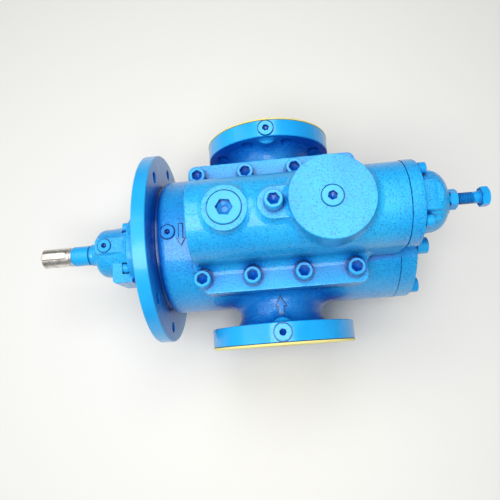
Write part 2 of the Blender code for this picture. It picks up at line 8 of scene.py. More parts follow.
import bpy
from bpy.props import FloatProperty, FloatVectorProperty, PointerProperty
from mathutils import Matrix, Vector


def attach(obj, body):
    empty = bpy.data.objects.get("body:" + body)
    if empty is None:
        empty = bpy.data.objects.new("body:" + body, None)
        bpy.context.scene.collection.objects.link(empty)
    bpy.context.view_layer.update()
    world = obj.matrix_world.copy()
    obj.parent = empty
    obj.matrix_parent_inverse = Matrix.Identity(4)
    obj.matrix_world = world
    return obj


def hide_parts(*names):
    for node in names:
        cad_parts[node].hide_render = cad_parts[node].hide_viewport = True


bl_info = {
    "name": "Three-screw pump",
    "version": (1, 0, 0),
    "blender": (4, 5, 0),
    "location": "3D View > Sidebar > Pump",
    "description": "Builds the castings, flanges, screws and paint of a three-screw pump",
    "category": "Object",
}

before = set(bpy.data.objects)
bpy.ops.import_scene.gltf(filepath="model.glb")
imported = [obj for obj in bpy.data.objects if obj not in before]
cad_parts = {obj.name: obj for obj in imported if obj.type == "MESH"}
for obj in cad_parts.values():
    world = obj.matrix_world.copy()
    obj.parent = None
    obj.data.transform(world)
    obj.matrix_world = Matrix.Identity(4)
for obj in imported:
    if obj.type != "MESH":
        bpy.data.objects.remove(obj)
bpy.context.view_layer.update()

SHAFT_Z = 0.130
VALVE_Z = 0.2737
BRANCH_X = 0.195
GAP = 0.0003                    # between faces that touch on the real pump
SKIN = 0.0002                   # how far a rough casting lies under its finished faces
ROUND = 160                     # sides of a large round body
SMALL_ROUND = 48
SMOOTH_ANGLE = math.radians(32)

# Heights and places that more than one piece shares
JOINT_Z = SHAFT_Z + 0.088
LIP_TOP = SHAFT_Z + 0.110
BARREL_START, BARREL_END = 0.0243, 0.3715
VALVE_START, VALVE_END = 0.084, 0.3657
DISC_X, DISC_TOP = 0.2695, SHAFT_Z + 0.2095
BOSS_X, BOSS_TOP = 0.1351, SHAFT_Z + 0.2025
PAD_X, PAD_TOP = 0.1973, SHAFT_Z + 0.2035
COVER_START, COVER_FACE, DOME_END = 0.366, 0.3830, 0.4262
DOME_TURN, DOME_SHELL_END = 0.395, 0.4242
HEAD_START, HEAD_END = 0.4680, 0.4785
NUT_END = DOME_END + GAP + 0.011
END_COVER_START, END_COVER_FACE = 0.3718, 0.3950
SEAL_FACE = -0.0385             # under the seal housing's screw heads
HUB_END = -0.028
LIP_SCREW_X = (0.091, 0.1605, 0.231, 0.302)
LIP_SCREW_Y = 0.0753
HOLE_M16, HOLE_M12, HOLE_M10 = 0.0084, 0.0064, 0.0054   # radii of the screws' holes
ADJUSTER_HOLE = 0.0083
FLANGE_HOLES = 8                # in each branch flange
FLANGE_HOLE_START = 22.5        # first hole, in degrees from straight up

# Branches: side, back and face of the flange along Y, bolt circle and port
SUCTION = {"side": -1, "back": 0.141, "face": 0.1687, "circle": 0.090, "port": 0.050, "boss": 0.1500}
DISCHARGE = {"side": 1, "back": 0.138, "face": 0.1643, "circle": 0.080, "port": 0.040, "boss": 0.1470}

# Turns that carry a piece's own +Z onto the named direction
TURN = {
    "+Z": (0, 0, 0),
    "+X": (0, math.pi / 2, 0),
    "-X": (0, -math.pi / 2, 0),
    "+Y": (-math.pi / 2, 0, 0),
    "-Y": (math.pi / 2, 0, 0),
}

# Colours used in one place each
# SHELTERED_SHADE and CREASE_SHADE are painted shade: the enamel is darkened towards them where other parts
# surround a surface and in narrow creases
SHELTERED_SHADE, CREASE_SHADE, PIT_PAINT = "#0049b2", "#001a66", "#035a96"
GLOSS_TINT = "#b4e4ff"
STEEL_FILM = "#a89c8a"
PALE_PLASTIC = "#f4eba0"
ROOM_LIGHT = "#eef3fb"

# Sockets of a Mix node that mixes colours
FACTOR, FIRST, SECOND, MIXED = 0, 6, 7, 2


def linear(hexadecimal):
    """An sRGB hex colour as the linear one that Blender mixes."""
    parts = [int(hexadecimal[i:i + 2], 16) / 255 for i in (1, 3, 5)]
    return tuple(p / 12.92 if p <= 0.04045 else ((p + 0.055) / 1.055) ** 2.4 for p in parts) + (1.0,)


def length(label, value, text):
    return FloatProperty(name=label, description=text, default=value, min=0.0, unit="LENGTH", precision=4)


def colour(label, value, text):
    return FloatVectorProperty(
        name=label, description=text, default=linear(value), size=4, min=0.0, max=1.0, subtype="COLOR"
    )


class CastingSizes(bpy.types.PropertyGroup):
    barrel: length("Barrel radius", 0.1084, "Outer radius of the pump casing's barrel")
    neck: length("Neck radius", 0.0635, "Outer radius of both branch necks")
    fillet: length("Casting fillet", 0.012, "Radius of the casing's inner corners")
    grain: length("Casing mesh grain", 0.0027, "Width of the cells that shape the casing's fillets")
    valve: length("Valve barrel radius", 0.057, "Outer radius of the valve housing")
    valve_fillet: length("Valve fillet", 0.009, "Radius of the valve housing's inner corners")
    disc: length("Disc radius", 0.0545, "Radius of the flat round boss on the valve housing")
    boss: length("Plug boss radius", 0.0305, "Radius of the boss under the large plug")


class FlangeSizes(bpy.types.PropertyGroup):
    drive: length("Drive flange radius", 0.153, "Outer radius of the drive flange")
    drive_thickness: length("Drive flange thickness", 0.020, "Thickness of the drive flange at its rim")
    suction: length("Suction flange radius", 0.110, "Outer radius of the suction flange")
    discharge: length("Discharge flange radius", 0.100, "Outer radius of the discharge flange")
    hole: length("Bolt hole radius", 0.009, "Radius of every bolt hole in the three flanges")
    edge: length("Flange chamfer", 0.0010, "Chamfer turned on the flange rims")
    cover: length("Cover thickness", 0.003, "Thickness of the yellow port covers")


class ScrewSizes(bpy.types.PropertyGroup):
    pitch: length("Adjusting thread pitch", 0.002, "Pitch of the adjusting screw's thread")
    shank: length("Adjusting screw radius", 0.008, "Outer radius of the adjusting screw's thread")
    hexagon: length("Hexagon half width", 0.012, "Half the width across flats of the lock nut and the head")
    shaft: length("Shaft radius", 0.016, "Radius of the drive shaft's end")


class FinishColours(bpy.types.PropertyGroup):
    paint: colour("Paint", "#009bdc", "Main colour of the enamel")
    paint_thin: colour("Thin paint", "#4accf2", "Colour of the enamel where it lies thin on edges and grain")
    paint_deep: colour("Thick paint", "#005ed6", "Colour of the enamel where it has run together")
    steel: colour("Steel", "#f0ece6", "Colour of the bare shaft end")
    plastic: colour("Plastic", "#eedf74", "Colour of the port covers")
    floor: colour("Floor", "#dbdad6", "Colour of the floor")


# Modelling steps
def nothing_picked():
    """An operator acts on all that is selected, so every step starts from nothing."""
    if bpy.context.object and bpy.context.object.mode != "OBJECT":
        bpy.ops.object.mode_set(mode="OBJECT")
    bpy.ops.object.select_all(action="DESELECT")


def pick(*objects):
    nothing_picked()
    for obj in objects:
        obj.select_set(True)
    bpy.context.view_layer.objects.active = objects[0]
    return objects[0]


def stand(obj, at=(0, 0, 0), along="+Z", spin=0.0):
    """Turns a piece about its own axis, points it along a direction and fixes its place in its mesh."""
    pick(obj)
    if spin:
        obj.rotation_euler = (0, 0, spin)
        bpy.ops.object.transform_apply(location=False, rotation=True, scale=False)
    obj.rotation_euler = TURN[along]
    obj.location = at
    bpy.ops.object.transform_apply(location=True, rotation=True, scale=True)
    return obj


def turned(name, steps, at=(0, 0, 0), along="+Z", sides=ROUND, spin=0.0):
    """A round body drawn up from a disc: each step is its radius and its height along its own axis."""
    nothing_picked()
    radius, height = steps[0]
    bpy.ops.mesh.primitive_circle_add(
        vertices=sides, radius=radius, fill_type="NGON", location=(0, 0, height)
    )
    obj = bpy.context.object
    obj.name = name
    bpy.ops.object.transform_apply(location=True, rotation=False, scale=False)
    bpy.ops.object.mode_set(mode="EDIT")
    bpy.ops.mesh.select_mode(type="FACE")
    bpy.ops.mesh.select_all(action="SELECT")
    for next_radius, next_height in steps[1:]:
        bpy.ops.mesh.extrude_region_move(TRANSFORM_OT_translate={"value": (0, 0, next_height - height)})
        if next_radius != radius:
            factor = next_radius / radius
            bpy.ops.transform.resize(value=(factor,) * 3, center_override=(0, 0, next_height))
        radius, height = next_radius, next_height
    bpy.ops.object.mode_set(mode="OBJECT")
    return stand(obj, at, along, spin)


def boxed(name, low, high):
    nothing_picked()
    low, high = Vector(low), Vector(high)
    bpy.ops.mesh.primitive_cube_add(size=1.0, location=(low + high) / 2, scale=high - low)
    obj = bpy.context.object
    obj.name = name
    bpy.ops.object.transform_apply(location=True, rotation=True, scale=True)
    return obj


def edges_picked(obj, wanted):
    """Opens a piece for editing with the edges picked whose middle and direction pass the test."""
    pick(obj)
    bpy.ops.object.mode_set(mode="EDIT")
    bpy.ops.mesh.select_mode(type="EDGE")
    bpy.ops.mesh.select_all(action="DESELECT")
    bpy.ops.object.mode_set(mode="OBJECT")
    points = obj.data.vertices
    for edge in obj.data.edges:
        a, b = (points[i].co for i in edge.vertices)
        edge.select = bool(wanted((a + b) / 2, (b - a).normalized()))
    bpy.ops.object.mode_set(mode="EDIT")


def rounded(obj, wanted, radius, segments=4):
    edges_picked(obj, wanted)
    bpy.ops.mesh.bevel(offset=radius, segments=segments, profile=0.5, affect="EDGES")
    bpy.ops.object.mode_set(mode="OBJECT")
    return obj


def sliced(obj, point, normal):
    """Cuts off what lies on the normal's side of a plane and closes the cut."""
    pick(obj)
    bpy.ops.object.mode_set(mode="EDIT")
    bpy.ops.mesh.select_mode(type="FACE")
    bpy.ops.mesh.select_all(action="SELECT")
    bpy.ops.mesh.bisect(plane_co=point, plane_no=normal, use_fill=True, clear_outer=True)
    bpy.ops.object.mode_set(mode="OBJECT")
    return obj


def worked(obj, kind, **settings):
    """Applies one modifier."""
    pick(obj)
    step = obj.modifiers.new(kind.title(), kind)
    for key, value in settings.items():
        setattr(step, key, value)
    bpy.ops.object.modifier_apply(modifier=step.name)
    return obj


def together(name, parts):
    pick(*parts)
    if len(parts) > 1:
        bpy.ops.object.join()
    parts[0].name = name
    return parts[0]


def with_tool(obj, tool, operation):
    worked(obj, "BOOLEAN", object=tool, operation=operation, solver="MANIFOLD")
    if not obj.data.polygons:
        raise RuntimeError(f"nothing is left of {obj.name}")
    bpy.data.objects.remove(tool, do_unlink=True)
    return obj


def cut(obj, *tools):
    for tool in tools:
        with_tool(obj, tool, "DIFFERENCE")
    return obj


def joined(parts):
    for other in parts[1:]:
        with_tool(parts[0], other, "UNION")
    return parts[0]


def drill(at, along, radius, depth, mouth=0.0, sides=SMALL_ROUND, drill_point=False):
    """A drill standing in its hole: at is on the face, along points out of it, mouth is the chamfer."""
    steps = [(radius, -depth)]
    if drill_point:
        steps.insert(0, (radius * 0.02, -depth - radius * 0.55))
    over = 0.003
    steps += [(radius, -mouth), (radius + mouth, 0.0), (radius + mouth, over)] if mouth else [(radius, over)]
    return turned("drill", steps, at, along, sides)


def cast(name, shapes, fillet, grain):
    """A casting: its rough body has every inner corner filled to a radius, its faces are finished on top.

    shapes(skin) makes the parts, each smaller by skin.
    """
    rough = together(name, shapes(SKIN))
    worked(rough, "REMESH", mode="VOXEL", voxel_size=grain)
    worked(rough, "DISPLACE", strength=fillet, mid_level=0.0)
    worked(rough, "REMESH", mode="VOXEL", voxel_size=grain)
    worked(rough, "DISPLACE", strength=-fillet, mid_level=0.0)
    worked(rough, "REMESH", mode="VOXEL", voxel_size=grain)
    worked(rough, "SMOOTH", factor=0.5, iterations=8)
    return with_tool(rough, joined(shapes(0.0)), "UNION")


def finished(obj, name, node, materials, body="pump", second=None):
    """Shades a piece, gives it its finishes and hands it to the frame in place of its CAD node.

    second(centre, normal) picks the faces that take the second finish.
    """
    obj.name = obj.data.name = name
    pick(obj)
    bpy.ops.object.shade_smooth_by_angle(angle=SMOOTH_ANGLE)
    worked(obj, "WEIGHTED_NORMAL", mode="FACE_AREA", keep_sharp=True)
    obj.data.materials.clear()
    for material in materials:
        obj.data.materials.append(material())
    for face in obj.data.polygons:
        face.material_index = int(bool(second and second(face.center, face.normal)))
    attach(obj, body)
    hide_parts(node)
    return obj


def around(radius, angle_deg, height=SHAFT_Z):
    """Y and Z on a circle about X, the angle counted from straight up towards +Y."""
    angle = math.radians(angle_deg)
    return radius * math.sin(angle), height + radius * math.cos(angle)


# Finishes
def node(tree, kind, inputs=None, **settings):
    """Adds a node with its settings; an input that is another node's socket is linked."""
    made = tree.nodes.new(kind)
    for key, value in settings.items():
        setattr(made, key, value)
    for key, value in (inputs or {}).items():
        if isinstance(value, bpy.types.NodeSocket):
            tree.links.new(value, made.inputs[key])
        else:
            made.inputs[key].default_value = value
    return made


def per_mm(size):
    """Texture scale at which one cell is this many millimetres wide."""
    return 1000.0 / size


def new_material(name):
    material = bpy.data.materials.new(name)
    material.use_nodes = True
    tree = material.node_tree
    shader = tree.nodes["Principled BSDF"]
    place = node(tree, "ShaderNodeTexCoord").outputs["Object"]
    return material, tree, shader, place


def enamel(name, grain_depth, grain_mm, speckle):
    """Glossy enamel: a wet gloss over sand grain, paler on the grain's tips and deep in its pits, with
    painted shade darkening it in sheltered places and in creases.
    """
    if name in bpy.data.materials:
        return bpy.data.materials[name]
    look = bpy.context.scene.pump_finish
    material, tree, shader, place = new_material(name)
    # Sand grain is about 0.5 mm on such iron. It is drawn 1.5 to 3 mm wide, because finer doesn't show.
    grain = node(tree, "ShaderNodeTexNoise", {
        "Vector": place, "Scale": per_mm(grain_mm), "Detail": 3.0, "Roughness": 0.6,
    })
    waves = node(tree, "ShaderNodeTexNoise", {"Vector": place, "Scale": per_mm(26.0), "Detail": 2.0})
    patch = node(tree, "ShaderNodeTexNoise", {"Vector": place, "Scale": per_mm(60.0), "Detail": 1.0})
    tone = node(tree, "ShaderNodeMix", {
        FACTOR: patch.outputs["Fac"], FIRST: look.paint_deep, SECOND: look.paint_thin,
    }, data_type="RGBA")
    body = node(tree, "ShaderNodeMix", {
        FACTOR: 0.35, FIRST: look.paint, SECOND: tone.outputs[MIXED],
    }, data_type="RGBA")
    pits = node(tree, "ShaderNodeMapRange", {
        "Value": grain.outputs["Fac"], "From Min": 0.37, "From Max": 0.45, "To Min": speckle, "To Max": 0.0,
    })
    tips = node(tree, "ShaderNodeMapRange", {
        "Value": grain.outputs["Fac"], "From Min": 0.55, "From Max": 0.75,
        "To Min": 0.0, "To Max": speckle * 0.6,
    })
    # Painted shade: where other parts surround a surface within 90 mm, its colour is darkened towards a deep
    # blue
    corner = node(tree, "ShaderNodeAmbientOcclusion", {"Distance": 0.090}, samples=8)
    depth = node(tree, "ShaderNodeMapRange", {
        "Value": corner.outputs["AO"], "From Min": 0.34, "From Max": 0.70,
    })
    body = node(tree, "ShaderNodeMix", {
        FACTOR: depth.outputs[0], FIRST: linear(SHELTERED_SHADE), SECOND: body.outputs[MIXED],
    }, data_type="RGBA")
    # Painted shade: narrow creases within 6 mm, such as those round screw heads and plugs, are darkened
    # towards a near-black blue
    crease_occlusion = node(tree, "ShaderNodeAmbientOcclusion", {"Distance": 0.006}, samples=6)
    crease_shade = node(tree, "ShaderNodeMapRange", {
        "Value": crease_occlusion.outputs["AO"], "From Min": 0.38, "From Max": 0.86,
    })
    body = node(tree, "ShaderNodeMix", {
        FACTOR: crease_shade.outputs[0], FIRST: linear(CREASE_SHADE), SECOND: body.outputs[MIXED],
    }, data_type="RGBA")
    paler = node(tree, "ShaderNodeMix", {
        FACTOR: tips.outputs[0], FIRST: body.outputs[MIXED], SECOND: look.paint_thin,
    }, data_type="RGBA")
    pitted = node(tree, "ShaderNodeMix", {
        FACTOR: pits.outputs[0], FIRST: paler.outputs[MIXED], SECOND: linear(PIT_PAINT),
    }, data_type="RGBA")
    gloss = node(tree, "ShaderNodeMapRange", {"Value": patch.outputs["Fac"], "To Min": 0.22, "To Max": 0.34})
    swell = node(tree, "ShaderNodeBump", {
        "Height": waves.outputs["Fac"], "Strength": 0.5, "Distance": 0.0008,
    })
    sand = node(tree, "ShaderNodeBump", {
        "Height": grain.outputs["Fac"], "Strength": 0.7, "Distance": grain_depth, "Normal": swell.outputs[0],
    })
    tree.links.new(pitted.outputs[MIXED], shader.inputs["Base Color"])
    tree.links.new(gloss.outputs[0], shader.inputs["Roughness"])
    tree.links.new(sand.outputs[0], shader.inputs["Normal"])
    shader.inputs["IOR"].default_value = 1.5
    shader.inputs["Specular Tint"].default_value = linear(GLOSS_TINT)
    shader.inputs["Coat Weight"].default_value = 0.35
    shader.inputs["Coat Roughness"].default_value = 0.12
    return material


def enamel_on_sand_casting():
    return enamel("enamel_on_sand_casting", 0.0011, 2.0, 0.75)


def enamel_on_machined_iron():
    return enamel("enamel_on_machined_iron", 0.00015, 2.0, 0.12)


def turned_steel():
    """Bright turned steel under oil: fine rings round the shaft and a brownish film in patches."""
    name = "turned_steel"
    if name in bpy.data.materials:
        return bpy.data.materials[name]
    material, tree, shader, place = new_material(name)
    look = bpy.context.scene.pump_finish
    # A finishing cut leaves rings about 0.2 mm apart. They are drawn 1 mm apart to show at all.
    rings = node(tree, "ShaderNodeTexWave", {
        "Vector": place, "Scale": per_mm(1.0) / 6.3, "Distortion": 0.6, "Detail": 1.0,
    }, bands_direction="X")
    film = node(tree, "ShaderNodeTexNoise", {"Vector": place, "Scale": per_mm(9.0), "Detail": 3.0})
    tint = node(tree, "ShaderNodeMapRange", {"Value": film.outputs["Fac"], "From Min": 0.4, "From Max": 0.75})
    hue = node(tree, "ShaderNodeMix", {
        FACTOR: tint.outputs[0], FIRST: look.steel, SECOND: linear(STEEL_FILM),
    }, data_type="RGBA")
    dull = node(tree, "ShaderNodeMapRange", {"Value": film.outputs["Fac"], "To Min": 0.30, "To Max": 0.48})
    cut_marks = node(tree, "ShaderNodeBump", {
        "Height": rings.outputs["Fac"], "Strength": 0.35, "Distance": 0.00008,
    })
    tree.links.new(hue.outputs[MIXED], shader.inputs["Base Color"])
    tree.links.new(dull.outputs[0], shader.inputs["Roughness"])
    tree.links.new(cut_marks.outputs[0], shader.inputs["Normal"])
    shader.inputs["Metallic"].default_value = 1.0
    return material


def moulded_polyethylene():
    """Soft moulded polyethylene: a waxy, slightly see-through yellow with faint flow marks."""
    name = "moulded_polyethylene"
    if name in bpy.data.materials:
        return bpy.data.materials[name]
    material, tree, shader, place = new_material(name)
    look = bpy.context.scene.pump_finish
    flow = node(tree, "ShaderNodeTexNoise", {"Vector": place, "Scale": per_mm(18.0), "Detail": 2.0})
    hue = node(tree, "ShaderNodeMix", {
        FACTOR: flow.outputs["Fac"], FIRST: look.plastic, SECOND: linear(PALE_PLASTIC),
    }, data_type="RGBA")
    rings = node(tree, "ShaderNodeTexWave", {
        "Vector": place, "Scale": per_mm(8.0) / 6.3, "Distortion": 0.2,
    }, wave_type="RINGS", rings_direction="Y")
    dull = node(tree, "ShaderNodeMapRange", {"Value": flow.outputs["Fac"], "To Min": 0.38, "To Max": 0.52})
    ripple = node(tree, "ShaderNodeBump", {
        "Height": rings.outputs["Fac"], "Strength": 0.2, "Distance": 0.0002,
    })
    tree.links.new(hue.outputs[MIXED], shader.inputs["Base Color"])
    tree.links.new(dull.outputs[0], shader.inputs["Roughness"])
    tree.links.new(ripple.outputs[0], shader.inputs["Normal"])
    shader.inputs["IOR"].default_value = 1.51
    shader.inputs["Subsurface Weight"].default_value = 0.12
    shader.inputs["Subsurface Scale"].default_value = 0.003
    return material


def painted_floor():
    """Plain pale matt floor, so that nothing on it draws the eye."""
    material, tree, shader, place = new_material("painted_floor")
    look = bpy.context.scene.pump_finish
    shade = node(tree, "ShaderNodeTexNoise", {"Vector": place, "Scale": per_mm(400.0), "Detail": 1.0})
    dull = node(tree, "ShaderNodeMapRange", {"Value": shade.outputs["Fac"], "To Min": 0.7, "To Max": 0.8})
    tree.links.new(dull.outputs[0], shader.inputs["Roughness"])
    shader.inputs["Base Color"].default_value = look.floor
    return material


# Stage
class PUMP_OT_stage(bpy.types.Operator):
    """Sets up the floor, the soft light and the camera"""
    bl_idname = "pump.stage"
    bl_label = "Stage"

    def execute(self, context):
        nothing_picked()
        bpy.ops.mesh.primitive_plane_add(size=9.0, location=(0.2, 0.0, -0.0236))
        floor = context.object
        floor.name = "floor"
        bpy.ops.object.transform_apply(location=True, rotation=True, scale=True)
        floor.data.materials.append(painted_floor())

        world = bpy.data.worlds.new("soft_room")
        world.use_nodes = True
        context.scene.world = world
        room = world.node_tree.nodes["Background"]
        room.inputs["Color"].default_value = linear(ROOM_LIGHT)
        room.inputs["Strength"].default_value = 0.17
        context.scene.view_settings.view_transform = "Standard"

        aim = Vector((0.19, 0.0, 0.15))
        lamps = (
            ("window", (0.22, 0.62, 1.75), 0.9, 13.0),
            ("ceiling", (0.05, -0.50, 1.75), 1.1, 29.0),
            ("side_fill", (-1.1, 0.30, 1.50), 1.4, 9.0),
        )
        for name, place, size, power in lamps:
            bpy.ops.object.light_add(type="AREA", location=place)
            lamp = context.object
            lamp.name = name
            lamp.data.size = size
            lamp.data.energy = power
            lamp.rotation_euler = (aim - Vector(place)).to_track_quat("-Z", "Y").to_euler()

        bpy.ops.object.camera_add(
            location=(0.19602, -0.17986, 0.90272), rotation=(0.211651, 0.079316, -0.071024)
        )
        camera = context.object
        camera.data.sensor_width = 36.0
        camera.data.lens = 34.586
        camera.data.shift_x = 0.0074
        camera.data.shift_y = -0.0049
        context.scene.camera = camera
        return {"FINISHED"}


# Castings
def branch_shapes(spec, radius, sizes, skin):
    """One branch: neck, flange disc and the boss behind the flange's plug."""
    along = "+Y" if spec["side"] > 0 else "-Y"
    edge = bpy.context.scene.pump_flanges.edge
    neck = sizes.neck - skin
    body = turned("neck", [(neck, 0.030), (neck, 0.10), (neck, 0.12), (neck, spec["back"] + 0.002)],
                  (BRANCH_X, 0, SHAFT_Z), along)
    rim, back, face = radius - skin, spec["back"] + skin, spec["face"] - skin
    disc = turned("flange", [
        (rim - edge, back), (rim, back + edge), (rim, face - edge), (rim - edge, face),
    ], (BRANCH_X, 0, SHAFT_Z), along)
    boss = turned("rim_boss", [(0.0215 - skin, SHAFT_Z + 0.045), (0.0165 - skin, SHAFT_Z + radius - 0.024),
                               (0.0160 - skin, SHAFT_Z + radius - 0.013), (0.0120, SHAFT_Z + radius - 0.009)],
                  (BRANCH_X, spec["side"] * spec["boss"], 0), sides=SMALL_ROUND)
    return [body, disc, boss]


def casing_shapes(skin):
    sizes, flanges = bpy.context.scene.pump_castings, bpy.context.scene.pump_flanges
    r = sizes.barrel - skin
    start, end = BARREL_START + skin, BARREL_END - skin
    barrel = turned("barrel", [
        (r - 0.0085, start), (r - 0.0045, start + 0.0008), (r - 0.0018, start + 0.0032),
        (r - 0.0004, start + 0.007), (r, start + 0.011), (r, 0.12), (r, 0.20), (r, 0.29),
        (r, end - 0.0008), (r - 0.0008, end),
    ], (0, 0, SHAFT_Z), "+X")
    low = (0.0775 + skin, -0.0930 + skin, SHAFT_Z)
    pad = boxed("pad", low, (0.3185 - skin, 0.0930 - skin, JOINT_Z + 0.004))
    pad = sliced(pad, (0.0775 + skin, -0.0500, 0), Vector((-0.042, -0.0130, 0)))
    rounded(pad, lambda m, d: abs(d.z) > 0.9, 0.012, 5)
    return (
        [barrel, pad]
        + branch_shapes(SUCTION, flanges.suction, sizes, skin)
        + branch_shapes(DISCHARGE, flanges.discharge, sizes, skin)
    )


def arrow(name, length_, width, stem, depth):
    """An arrow lying on XY that points along +Y from its tail at the origin."""
    head = width * 0.9
    shaft = boxed(name, (-stem / 2, 0, 0), (stem / 2, length_ - head * 0.9, depth))
    corner = width / 1.73
    tip = turned(name + "_tip", [(corner, 0), (corner, depth)], (0, length_ - head * 0.62, 0), sides=3)
    return joined([shaft, tip])


def raise_arrow(casing, tail, spin, size, radius, axis_x, along):
    """Raises a cast arrow on a round body, with a shallow ditch round it where the pattern's edge was."""
    length_, width, stem = size
    ditch, relief, deep = 0.0016, 0.0018, 0.0016
    back = Vector((math.sin(spin), -math.cos(spin))) * ditch
    hollow = arrow("ditch", length_ + 3 * ditch, width + 4 * ditch, stem + 2 * ditch, 0.030)
    stand(hollow, (tail[0] + back.x, tail[1] + back.y, SHAFT_Z + radius - 0.012), spin=spin)
    axis = (axis_x, 0, SHAFT_Z)
    cut(hollow, turned("floor_of_ditch", [(radius - deep, 0.02), (radius - deep, 0.15)], axis, along))
    cut(casing, hollow)
    sign = arrow("arrow", length_, width, stem, 0.030)
    stand(sign, (tail[0], tail[1], SHAFT_Z + radius - 0.012), spin=spin)
    sleeve = turned("sleeve", [(radius + relief, 0.02), (radius + relief, 0.15)], axis, along)
    with_tool(sign, sleeve, "INTERSECT")
    joined([casing, sign])


class PUMP_OT_casing(bpy.types.Operator):
    """Casts the pump casing with both branches, drills its flanges and raises its flow arrows"""
    bl_idname = "pump.casing"
    bl_label = "Pump casing"

    def execute(self, context):
        sizes, flanges = context.scene.pump_castings, context.scene.pump_flanges
        casing = cast("casing", casing_shapes, sizes.fillet, sizes.grain)

        raise_arrow(casing, (0.0605, 0.0099), math.pi, (0.0300, 0.0095, 0.0048), sizes.barrel, 0.0, "+X")
        raise_arrow(casing, (0.1955, -0.1270), 0.0, (0.0245, 0.0140, 0.0068), sizes.neck, BRANCH_X, "-Y")

        cut(casing, boxed("seat", (0.0752, -0.12, JOINT_Z), (0.40, 0.12, JOINT_Z + 0.05)))
        tools = []
        for spec, radius in ((SUCTION, flanges.suction), (DISCHARGE, flanges.discharge)):
            side = spec["side"]
            along = "+Y" if side > 0 else "-Y"
            for step in range(FLANGE_HOLES):
                angle = math.radians(FLANGE_HOLE_START + 360 / FLANGE_HOLES * step)
                x = BRANCH_X + spec["circle"] * math.sin(angle)
                z = SHAFT_Z + spec["circle"] * math.cos(angle)
                through = spec["face"] - spec["back"] + 0.0035
                tools.append(drill((x, side * spec["face"], z), along, flanges.hole, through, 0.0008))
            mouth = (BRANCH_X, side * spec["face"], SHAFT_Z)
            tools.append(drill(mouth, along, spec["port"], 0.075, 0.001, ROUND))
        for x, y in lip_places():
            tools.append(drill((x, y, JOINT_Z), "+Z", HOLE_M16, 0.026))
        for y, z in end_places():
            tools.append(drill((BARREL_END, y, z), "+X", HOLE_M16, 0.030))
        for y, z in drive_places():
            tools.append(drill((BARREL_START, y, z), "-X", HOLE_M12, 0.022))
        for name in ("suction_rim_plug", "discharge_rim_plug", "casing_plug"):
            tools += plug_bed(name)
        cut(casing, *tools)

        def machined(centre, normal):
            return centre.y < -SUCTION["back"] or centre.y > DISCHARGE["back"]

        finishes = (enamel_on_sand_casting, enamel_on_machined_iron)
        finished(casing, "casing_body", "pump_casing", finishes, second=machined)
        return {"FINISHED"}


def lip_shape(skin):
    low = (0.0755 + skin, -0.0955 + skin, JOINT_Z + GAP + skin)
    lip = boxed("lip", low, (0.3195 - skin, 0.0955 - skin, LIP_TOP - skin))
    sliced(lip, (0.0755 + skin, -0.0520, 0), Vector((-0.042, -0.0130, 0)))
    rounded(lip, lambda m, d: abs(d.z) > 0.9, 0.011, 6)
    return rounded(lip, lambda m, d: abs(d.z) < 0.1 and m.z > LIP_TOP - skin - 0.001, 0.0015, 2)


def valve_shapes(skin):
    sizes = bpy.context.scene.pump_castings
    r = sizes.valve - skin
    start, end = VALVE_START + skin, VALVE_END - skin
    barrel = turned("valve_barrel", [
        (r - 0.0012, start), (r, start + 0.0012), (r, 0.15), (r, 0.22), (r, 0.30),
        (r, end - 0.0006), (r - 0.0006, end),
    ], (0, 0, VALVE_Z), "+X")
    low = (start + 0.0004, -r + 0.0001, JOINT_Z + GAP + skin)
    body = boxed("valve_body", low, (end - 0.0001, r - 0.0001, VALVE_Z))
    rim, top = sizes.disc - skin, DISC_TOP - skin
    disc = turned("disc_boss", [(rim, VALVE_Z), (rim, top - 0.0009), (rim - 0.0009, top)], (DISC_X, 0, 0))
    boss = turned("plug_boss", [
        (sizes.boss - skin, VALVE_Z), (sizes.boss - skin, BOSS_TOP - skin - 0.002),
        (sizes.boss - skin - 0.0007, BOSS_TOP - skin - 0.0006), (sizes.boss - skin - 0.002, BOSS_TOP - skin),
    ], (BOSS_X, 0, 0))
    pad = turned("screw_pad", [
        (0.0215 - skin, VALVE_Z), (0.0215 - skin, PAD_TOP - skin - 0.001), (0.0205 - skin, PAD_TOP - skin),
    ], (PAD_X, 0, 0), sides=SMALL_ROUND * 2)
    high = (PAD_X + 0.030, 0.0210 - skin, PAD_TOP - skin)
    bridge = boxed("pad_bridge", (PAD_X, -0.0210 + skin, VALVE_Z), high)
    rounded(bridge, lambda m, d: abs(d.x) > 0.9 and m.z > VALVE_Z + 0.03, 0.001, 2)
    return [barrel, body, lip_shape(skin), disc, boss, pad, bridge]


class PUMP_OT_valve_housing(bpy.types.Operator):
    """Casts the valve housing with its lip, its disc and its bosses"""
    bl_idname = "pump.valve_housing"
    bl_label = "Valve housing"

    def execute(self, context):
        sizes = context.scene.pump_castings
        housing = cast("valve_housing_iron", valve_shapes, sizes.valve_fillet, 0.0021)
        # The fillets swell past the flat joint faces, so these are cut again
        cut(housing, boxed("joint", (0.05, -0.13, JOINT_Z - 0.05), (0.40, 0.13, JOINT_Z + GAP)))
        tools = [drill((x, y, LIP_TOP), "+Z", 0.0132, 0.0002) for x, y in lip_places()]
        tools += [drill((x, y, LIP_TOP), "+Z", HOLE_M16, 0.030) for x, y in lip_places()]
        spot = [(0.0150, LIP_TOP - 0.0006), (0.0150, LIP_TOP + 0.030)]
        spot_faces = [turned("spot_face", spot, (x, y, 0), sides=SMALL_ROUND) for x, y in lip_places()]
        tools.append(drill((PAD_X, 0, PAD_TOP), "+Z", HOLE_M16, 0.021))
        tools += [*plug_bed("valve_plug"), *plug_bed("disc_plug")]
        for y, z in cover_places():
            tools.append(drill((VALVE_END, y, z), "+X", HOLE_M10, 0.021))
        cut(housing, *spot_faces, *tools)
        finished(housing, "valve_body", "valve_housing", (enamel_on_sand_casting,))
        return {"FINISHED"}


